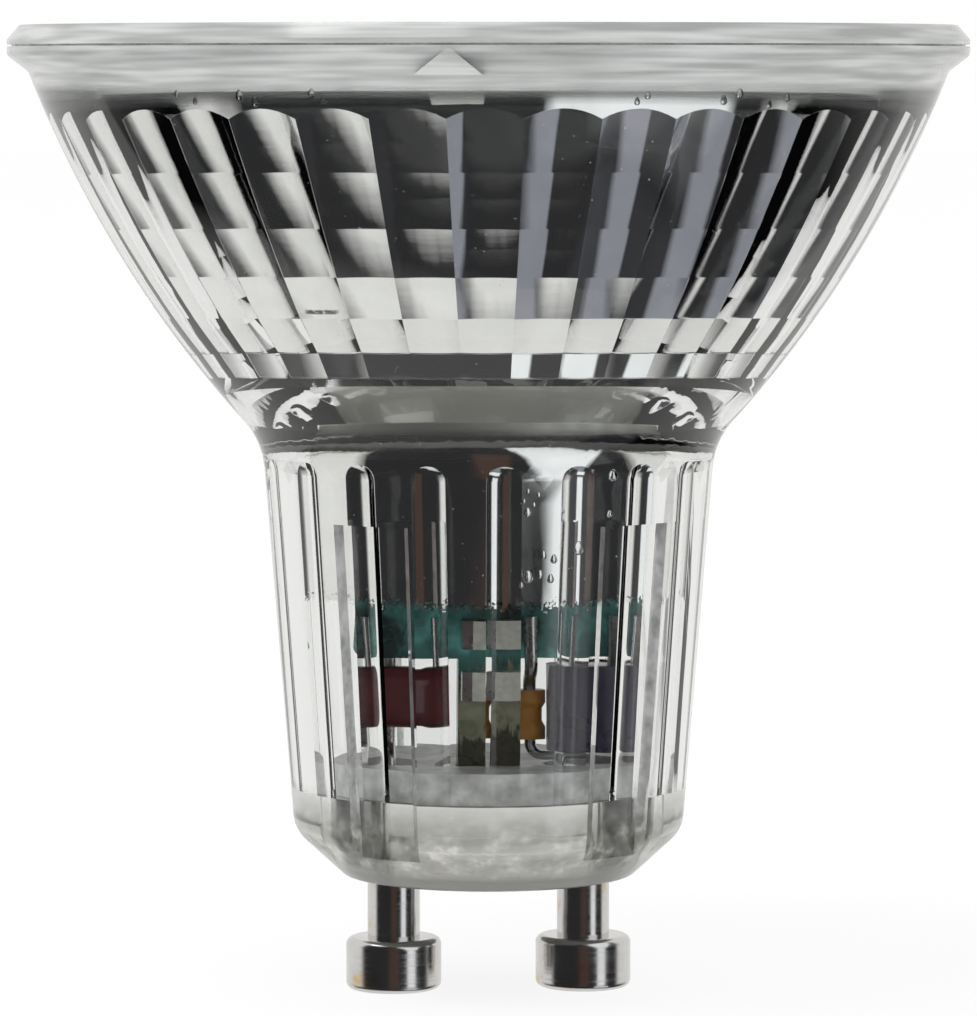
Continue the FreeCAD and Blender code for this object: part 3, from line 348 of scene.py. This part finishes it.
def board_finish(colors):
    """Lacquered laminate: teal above, bare olive laminate with dark solder flux down its tongue."""
    material, tree, shader, place = start_material("board_lacquer")
    height = from_axis(tree, place)[1]
    cloud = noise(tree, place, 1.0, 4.0, 0.6)
    patches = noise(tree, stretch(tree, place, (1.0, 1.0, 0.7)), 2.2, 3.0, 0.6)
    teal = shades(tree, patches, [(0.40, shift(colors.board, 0.18)), (0.47, shift(colors.board, 0.7)),
                                  (0.56, colors.board), (0.66, shift(colors.board, 2.2))])
    olive = shades(tree, cloud, [(0.35, shift(colors.tongue, 0.7)), (0.65, shift(colors.tongue, 1.2))])
    fringe = noise(tree, stretch(tree, place, (3.0, 1.0, 0.6)), 1.0)
    ragged = math_node(tree, "ADD", height, spread(tree, fringe, -1.2, 1.2))
    olive = blend(tree, spread(tree, ragged, 1.0, 0.0, *FLUX_TOP), olive, shift(colors.tongue, 0.2))
    tree.links.new(blend(tree, spread(tree, ragged, 1.0, 0.0, *TONGUE_TOP), teal, olive), shader.inputs["Base Color"])
    tree.links.new(spread(tree, cloud, 0.2, 0.4), shader.inputs["Roughness"])
    bump(tree, shader, noise(tree, place, 0.5, 4.0), 0.3, 0.02)
    return material


class BULB_OT_glass(Operator):
    """Finish the glass body, the front lens and the adhesive between them"""

    bl_idname = "bulb.glass"
    bl_label = "Glass"

    def execute(self, context):
        colors = context.scene.bulb_finishes
        dress(glass_finish("pressed_glass", colors, *BODY_RIM), "glass_body")
        dress(glass_finish("lens_glass", colors, *LENS_RIM), "front_lens")
        seal, tree, shader, place = start_material("clear_adhesive")
        shader.inputs["Transmission Weight"].default_value = 0.25
        shader.inputs["IOR"].default_value = ADHESIVE_IOR
        bubbles = noise(tree, place, 1.2, 4.0)
        tree.links.new(shades(tree, bubbles, [(0.4, shift(colors.rim, 1.4)), (0.6, colors.rim)]),
                       shader.inputs["Base Color"])
        tree.links.new(spread(tree, bubbles, 0.05, 0.5), shader.inputs["Roughness"])
        bump(tree, shader, bubbles, 0.5, 0.05)
        dress(seal, "lens_seal")
        return {"FINISHED"}


def model_seed(context):
    """One small bubble, one millimetre in radius before it is pressed flat and drawn out at its top."""
    bpy.ops.object.select_all(action="DESELECT")
    bpy.ops.mesh.primitive_uv_sphere_add(segments=24, ring_count=14, radius=MILLIMETRE, location=(0, 0, 0))
    bpy.ops.object.mode_set(mode="EDIT")
    bpy.ops.mesh.select_all(action="SELECT")
    bpy.ops.transform.resize(value=SEED_PRESSED)
    bpy.ops.mesh.select_all(action="DESELECT")
    bpy.ops.object.mode_set(mode="OBJECT")
    seed = context.active_object
    for corner in seed.data.vertices:
        corner.select = corner.co.z > SEED_SHOULDER * MILLIMETRE
    bpy.ops.object.mode_set(mode="EDIT")
    bpy.ops.transform.resize(value=SEED_DRAWN, center_override=(0, 0, 0))
    bpy.ops.mesh.select_all(action="SELECT")
    bpy.ops.mesh.vertices_smooth(factor=0.5, repeat=3)
    bpy.ops.mesh.normals_make_consistent(inside=False)
    bpy.ops.object.mode_set(mode="OBJECT")
    bpy.ops.object.shade_smooth()
    return seed


class BULB_OT_seeds(Operator):
    """Model the small bubbles that were pressed into the glass of the neck and the rim"""

    bl_idname = "bulb.seeds"
    bl_label = "Bubbles in the glass"

    def execute(self, context):
        pattern = model_seed(context)
        pattern.data.materials.append(seed_finish(context.scene.bulb_finishes))
        bubbles = []
        for turn, height, away, size in SEEDS:
            angle = math.radians(turn)
            bubble = pattern.copy()
            bubble.data = pattern.data.copy()
            bubble.location = (math.sin(angle) * away * MILLIMETRE, -math.cos(angle) * away * MILLIMETRE,
                               height * MILLIMETRE)
            bubble.rotation_euler = (0.0, 0.0, angle)
            bubble.scale = (size, size, size)
            context.scene.collection.objects.link(bubble)
            bubbles.append(bubble)
        bpy.data.objects.remove(pattern)
        bpy.ops.object.select_all(action="DESELECT")
        for bubble in bubbles:
            bubble.select_set(True)
        context.view_layer.objects.active = bubbles[0]
        bpy.ops.object.transform_apply(location=True, rotation=True, scale=True)
        bpy.ops.object.join()
        seeds = context.active_object
        seeds.name = "glass_seeds"
        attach(seeds, "root")
        return {"FINISHED"}


def scratch_mark(tree, place, breaks):
    """Marks the short brown scratch in the front of the film, broken up by a noise."""
    spot = tree.nodes.new("ShaderNodeSeparateXYZ")
    tree.links.new(place, spot.inputs["Vector"])
    east, north, up = spot.outputs
    aside = math_node(tree, "ABSOLUTE", math_node(tree, "ADD", east, SCRATCH_LEFT * MILLIMETRE))
    along = spread(tree, aside, 1.0, 0.0, *(end * MILLIMETRE for end in SCRATCH_ENDS))
    level = math_node(tree, "ABSOLUTE", math_node(tree, "SUBTRACT", up, SCRATCH_HEIGHT * MILLIMETRE))
    across = spread(tree, level, 1.0, 0.0, *(side * MILLIMETRE for side in SCRATCH_SIDES))
    line = math_node(tree, "MULTIPLY", math_node(tree, "MULTIPLY", along, across),
                     math_node(tree, "LESS_THAN", north, 0.0))
    return math_node(tree, "MULTIPLY", line, spread(tree, breaks, 0.3, 1.0, 0.38, 0.46))


class BULB_OT_mirror(Operator):
    """Finish the mirror film: dull on the shelf, scratched, and broken up into specks at its lower edge"""

    bl_idname = "bulb.mirror"
    bl_label = "Mirror film"

    def execute(self, context):
        colors = context.scene.bulb_finishes
        film, tree, shader, place = start_material("mirror_film")
        cloud = noise(tree, place, 2.5, 2.0)
        bright = shades(tree, cloud, [(0.3, shift(colors.mirror, 0.93)), (0.7, colors.mirror)])
        height = from_axis(tree, place)[1]
        shelf = math_node(tree, "MULTIPLY", spread(tree, height, 0.0, 1.0, *SHELF_FOOT),
                          spread(tree, height, 1.0, 0.0, *SHELF_TOP))
        specks = noise(tree, place, 0.22, 2.0, 0.65)
        scratch = scratch_mark(tree, place, specks)
        tree.links.new(blend(tree, scratch, blend(tree, shelf, bright, colors.satin), colors.scratch),
                       shader.inputs["Base Color"])
        polish = spread(tree, cloud, 0.02, 0.06)
        tree.links.new(math_node(tree, "ADD", polish, math_node(tree, "MULTIPLY", shelf, 0.5)),
                       shader.inputs["Roughness"])
        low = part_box("mirror_film")[0].z / MILLIMETRE
        feather = spread(tree, height, 0.0, 1.0, low, low + FILM_FEATHER)
        dots = spread(tree, specks, 1.0, 0.1, 0.735, 0.76)
        tree.links.new(math_node(tree, "SUBTRACT", dots, scratch), shader.inputs["Metallic"])
        keep = math_node(tree, "GREATER_THAN", math_node(tree, "ADD", specks, feather), 0.7)
        tree.links.new(keep, shader.inputs["Alpha"])
        ripples = noise(tree, stretch(tree, place, (0.3, 0.3, 3.0)), 0.8, 1.0)
        bump(tree, shader, ripples, 0.03, 0.02)
        dress(film, "mirror_film")
        return {"FINISHED"}


class BULB_OT_pins(Operator):
    """Finish the contact pins: worn nickel over brass"""

    bl_idname = "bulb.pins"
    bl_label = "Contact pins"

    def execute(self, context):
        colors = context.scene.bulb_finishes
        nickel, tree, shader, place = start_material("worn_nickel")
        shader.inputs["Metallic"].default_value = 1.0
        wear = noise(tree, place, 1.6, 4.0)
        tree.links.new(shades(tree, wear, [(0.3, colors.nickel), (0.6, shift(colors.nickel, 0.92)),
                                           (0.72, colors.brass)]), shader.inputs["Base Color"])
        turned = noise(tree, stretch(tree, place, (0.15, 0.15, 6.0)), 0.6, 4.0)
        tree.links.new(spread(tree, turned, 0.12, 0.26), shader.inputs["Roughness"])
        bump(tree, shader, turned, 0.15, 0.02)
        dress(nickel, "contact_pin_left", "contact_pin_right")
        return {"FINISHED"}


class BULB_OT_light_source(Operator):
    """Finish the light board, its glowing disc and its leads"""

    bl_idname = "bulb.light_source"
    bl_label = "Light source"

    def execute(self, context):
        colors = context.scene.bulb_finishes
        dress(solid_finish("heat_paste", shift(colors.silicone, 0.8), 0.6), "heat_pad")
        dress(solid_finish("white_lacquer", colors.lacquer, 0.35, 0.8, 0.01, vary=0.94), "light_board")
        dress(solid_finish("phosphor", colors.phosphor, 0.45, 0.5, 0.02, vary=0.85), "emitter_disc")
        dress(solid_finish("dam_silicone", colors.silicone, 0.4, 0.8, 0.03, vary=0.92), "emitter_dam")
        dress(solid_finish("lead_insulation", colors.lacquer, 0.45, 1.0, 0.02, vary=0.92),
              "light_lead_left", "light_lead_right")
        return {"FINISHED"}


class BULB_OT_driver(Operator):
    """Finish the driver board, its potting and its components"""

    bl_idname = "bulb.driver"
    bl_label = "Driver"

    def execute(self, context):
        colors = context.scene.bulb_finishes
        dress(board_finish(colors), "driver_board")
        dress(solid_finish("potting_silicone", colors.silicone, 0.4, 0.9, 0.2, vary=0.5), "board_potting")
        dress(solid_finish("dipped_lacquer", colors.maroon, 0.22, 1.0, 0.03, vary=0.7), "film_capacitor")
        dress(solid_finish("drawn_can", colors.tin, 0.3, 0.8, 0.01, metal=1.0, vary=0.9), "capacitor_can")
        dress(solid_finish("shrink_sleeve", colors.sleeve, 0.3, 1.0, 0.02, vary=0.8), "capacitor_sleeve")
        dress(solid_finish("resistor_lacquer", colors.amber, 0.35, 0.5, 0.02, vary=0.7), "fuse_resistor")
        dress(solid_finish("ferrite", colors.ferrite, 0.5, 0.4, 0.02, vary=0.7), "choke_core")
        dress(solid_finish("copper_enamel", colors.copper, 0.25, 0.3, 0.02, metal=1.0, vary=0.7), "choke_winding")
        dress(solid_finish("chip_moulding", colors.moulding, 0.5, 0.2, 0.01, vary=0.75), "rectifier", "driver_chip")
        dress(solid_finish("chip_ceramic", colors.ceramic, 0.5, 0.3, 0.01, vary=0.75), "chip_components")
        dress(solid_finish("tinned_metal", colors.tin, 0.28, 0.4, 0.02, metal=1.0, vary=0.8),
              "film_capacitor_leads", "capacitor_can_leads", "fuse_leads", "mains_lead", "chip_legs",
              "chip_component_ends")
        return {"FINISHED"}


def degrees_around(angle):
    """A direction round the bulb as a place on the ramp: 0 is towards the front, right is positive."""
    return (angle + 180.0) / 360.0


def patch(tree, around, rise, middle, half, low, high, widening=None):
    """A soft-edged patch of the surroundings: its middle and half width, and its heights, in degrees."""
    aside = math_node(tree, "ABSOLUTE", math_node(tree, "SUBTRACT", around, middle))
    if widening:
        aside = math_node(tree, "SUBTRACT", aside, widening)
    across = spread(tree, aside, 1.0, 0.0, half - PATCH_SOFTNESS, half + PATCH_SOFTNESS)
    foot = spread(tree, rise, 0.0, 1.0, low - PATCH_SOFTNESS, low + PATCH_SOFTNESS)
    head = spread(tree, rise, 1.0, 0.0, high - PATCH_SOFTNESS, high + PATCH_SOFTNESS)
    return math_node(tree, "MULTIPLY", across, math_node(tree, "MULTIPLY", foot, head))


def set_world(context, stage):
    """A paper sweep behind and below, a dark room in front and a window at the right; matt pieces see only paper."""
    world = bpy.data.worlds.new("studio")
    context.scene.world = world
    world.use_nodes = True
    tree = world.node_tree
    split = tree.nodes.new("ShaderNodeSeparateXYZ")
    tree.links.new(tree.nodes.new("ShaderNodeTexCoord").outputs["Generated"], split.inputs["Vector"])
    east, north, up = split.outputs
    turn = math_node(tree, "ARCTAN2", east, math_node(tree, "MULTIPLY", north, -1.0))
    around = math_node(tree, "DIVIDE", turn, math.radians(1.0))
    rise = math_node(tree, "DIVIDE", math_node(tree, "ARCSINE", up), math.radians(1.0))
    edge = shades(tree, spread(tree, around, 0.0, 1.0, -180.0, 180.0), [
        (degrees_around(angle), (depth / 90.0,) * 3) for angle, depth in ROOM_EDGE])
    below = math_node(tree, "DIVIDE", rise, -90.0)
    floor = spread(tree, math_node(tree, "SUBTRACT", below, edge), 0.0, 1.0, *ROOM_SOFTNESS)
    aside = math_node(tree, "ABSOLUTE", around)
    level = math_node(tree, "MULTIPLY", spread(tree, aside, 0.0, 1.0, *PAPER_BESIDE),
                      spread(tree, rise, 0.0, 1.0, *PAPER_LEVEL))
    behind = math_node(tree, "MAXIMUM", level, spread(tree, aside, 0.0, 1.0, *PAPER_BEHIND))
    above = spread(tree, rise, 0.0, 1.0, *PAPER_ABOVE)
    paper = math_node(tree, "MAXIMUM", floor, math_node(tree, "MAXIMUM", behind, above))
    view = blend(tree, patch(tree, around, rise, *WOOD_PATCH), stage.room, stage.wood)
    view = blend(tree, patch(tree, around, rise, *HAZE_PATCH), view, stage.haze)
    view = blend(tree, patch(tree, around, rise, *LOW_WINDOW), view, stage.window)
    over = math_node(tree, "MAXIMUM", math_node(tree, "SUBTRACT", rise, WINDOW_BEND), 0.0)
    widening = math_node(tree, "MULTIPLY", over, WINDOW_SPREAD)
    view = blend(tree, patch(tree, around, rise, *HIGH_WINDOW, widening), view, stage.window)
    view = blend(tree, paper, view, stage.sweep)
    path = tree.nodes.new("ShaderNodeLightPath")
    soft = math_node(tree, "MINIMUM", path.outputs["Diffuse Depth"], 1.0)
    view = blend(tree, soft, view, stage.paper)
    view = blend(tree, path.outputs["Is Camera Ray"], view, WHITE)
    tree.links.new(view, tree.nodes["Background"].inputs["Color"])


def set_floor(stage):
    """A plain white floor that keeps the shadow of the bulb."""
    bpy.ops.object.select_all(action="DESELECT")
    bpy.ops.mesh.primitive_plane_add(size=stage.floor, location=(0, 0, 0))
    floor = bpy.context.active_object
    floor.name = "floor"
    floor.visible_glossy = False
    floor.visible_transmission = False
    material = bpy.data.materials.new("floor_paper")
    material.use_nodes = True
    tree = material.node_tree
    tree.nodes.remove(tree.nodes["Principled BSDF"])
    matt = tree.nodes.new("ShaderNodeBsdfDiffuse")
    matt.inputs["Color"].default_value = (*stage.paper, 1.0)
    glow = tree.nodes.new("ShaderNodeEmission")
    glow.inputs["Color"].default_value = (*WHITE, 1.0)
    glow.inputs["Strength"].default_value = 1.0
    path = tree.nodes.new("ShaderNodeLightPath")
    seen = math_node(tree, "MULTIPLY", path.outputs["Is Camera Ray"], FLOOR_GLOW)
    surface = tree.nodes.new("ShaderNodeMixShader")
    tree.links.new(seen, surface.inputs["Fac"])
    tree.links.new(matt.outputs["BSDF"], surface.inputs[1])
    tree.links.new(glow.outputs["Emission"], surface.inputs[2])
    tree.links.new(surface.outputs["Shader"], tree.nodes["Material Output"].inputs["Surface"])
    floor.data.materials.append(material)


def set_camera(context, stage):
    """The camera at the photograph's angle."""
    data = bpy.data.cameras.new("camera")
    data.lens = stage.lens
    data.sensor_width = SENSOR_WIDTH
    camera = bpy.data.objects.new("camera", data)
    context.scene.collection.objects.link(camera)
    spot = Vector((math.sin(stage.turn) * stage.distance, -math.cos(stage.turn) * stage.distance,
                   stage.height))
    camera.location = spot
    camera.rotation_euler = (Vector((0, 0, stage.aim)) - spot).to_track_quat("-Z", "Y").to_euler()
    context.scene.camera = camera


class BULB_OT_stage(Operator):
    """Set the studio: floor, world, lamp and camera"""

    bl_idname = "bulb.stage"
    bl_label = "Studio"

    def execute(self, context):
        stage = context.scene.bulb_stage
        set_world(context, stage)
        set_floor(stage)
        data = bpy.data.lights.new("softbox", "AREA")
        data.size = stage.lamp_size
        data.energy = stage.lamp_power
        lamp = bpy.data.objects.new("softbox", data)
        lamp.location = LAMP_PLACE
        lamp.rotation_euler = (-lamp.location).to_track_quat("-Z", "Y").to_euler()
        context.scene.collection.objects.link(lamp)
        set_camera(context, stage)
        context.scene.view_settings.view_transform = "Standard"
        return {"FINISHED"}


OPERATORS = (BULB_OT_glass, BULB_OT_seeds, BULB_OT_mirror, BULB_OT_pins, BULB_OT_light_source,
             BULB_OT_driver, BULB_OT_stage)


class BULB_PT_panel(Panel):
    """Lists the steps that finish the bulb"""

    bl_idname = "BULB_PT_panel"
    bl_label = "Spotlight Bulb"
    bl_space_type = "VIEW_3D"
    bl_region_type = "UI"
    bl_category = "Bulb"

    def draw(self, context):
        for operator in OPERATORS:
            self.layout.operator(operator.bl_idname)
        for group in (context.scene.bulb_finishes, context.scene.bulb_stage):
            for name in group.__annotations__:
                self.layout.prop(group, name)


CLASSES = (BulbFinishes, BulbStage, *OPERATORS, BULB_PT_panel)


def register():
    for item in CLASSES:
        bpy.utils.register_class(item)
    bpy.types.Scene.bulb_finishes = PointerProperty(type=BulbFinishes)
    bpy.types.Scene.bulb_stage = PointerProperty(type=BulbStage)


def unregister():
    del bpy.types.Scene.bulb_stage
    del bpy.types.Scene.bulb_finishes
    for item in reversed(CLASSES):
        bpy.utils.unregister_class(item)


def main():
    register()
    bpy.ops.bulb.glass()
    bpy.ops.bulb.seeds()
    bpy.ops.bulb.mirror()
    bpy.ops.bulb.pins()
    bpy.ops.bulb.light_source()
    bpy.ops.bulb.driver()
    bpy.ops.bulb.stage()


if __name__ == "__main__":
    main()
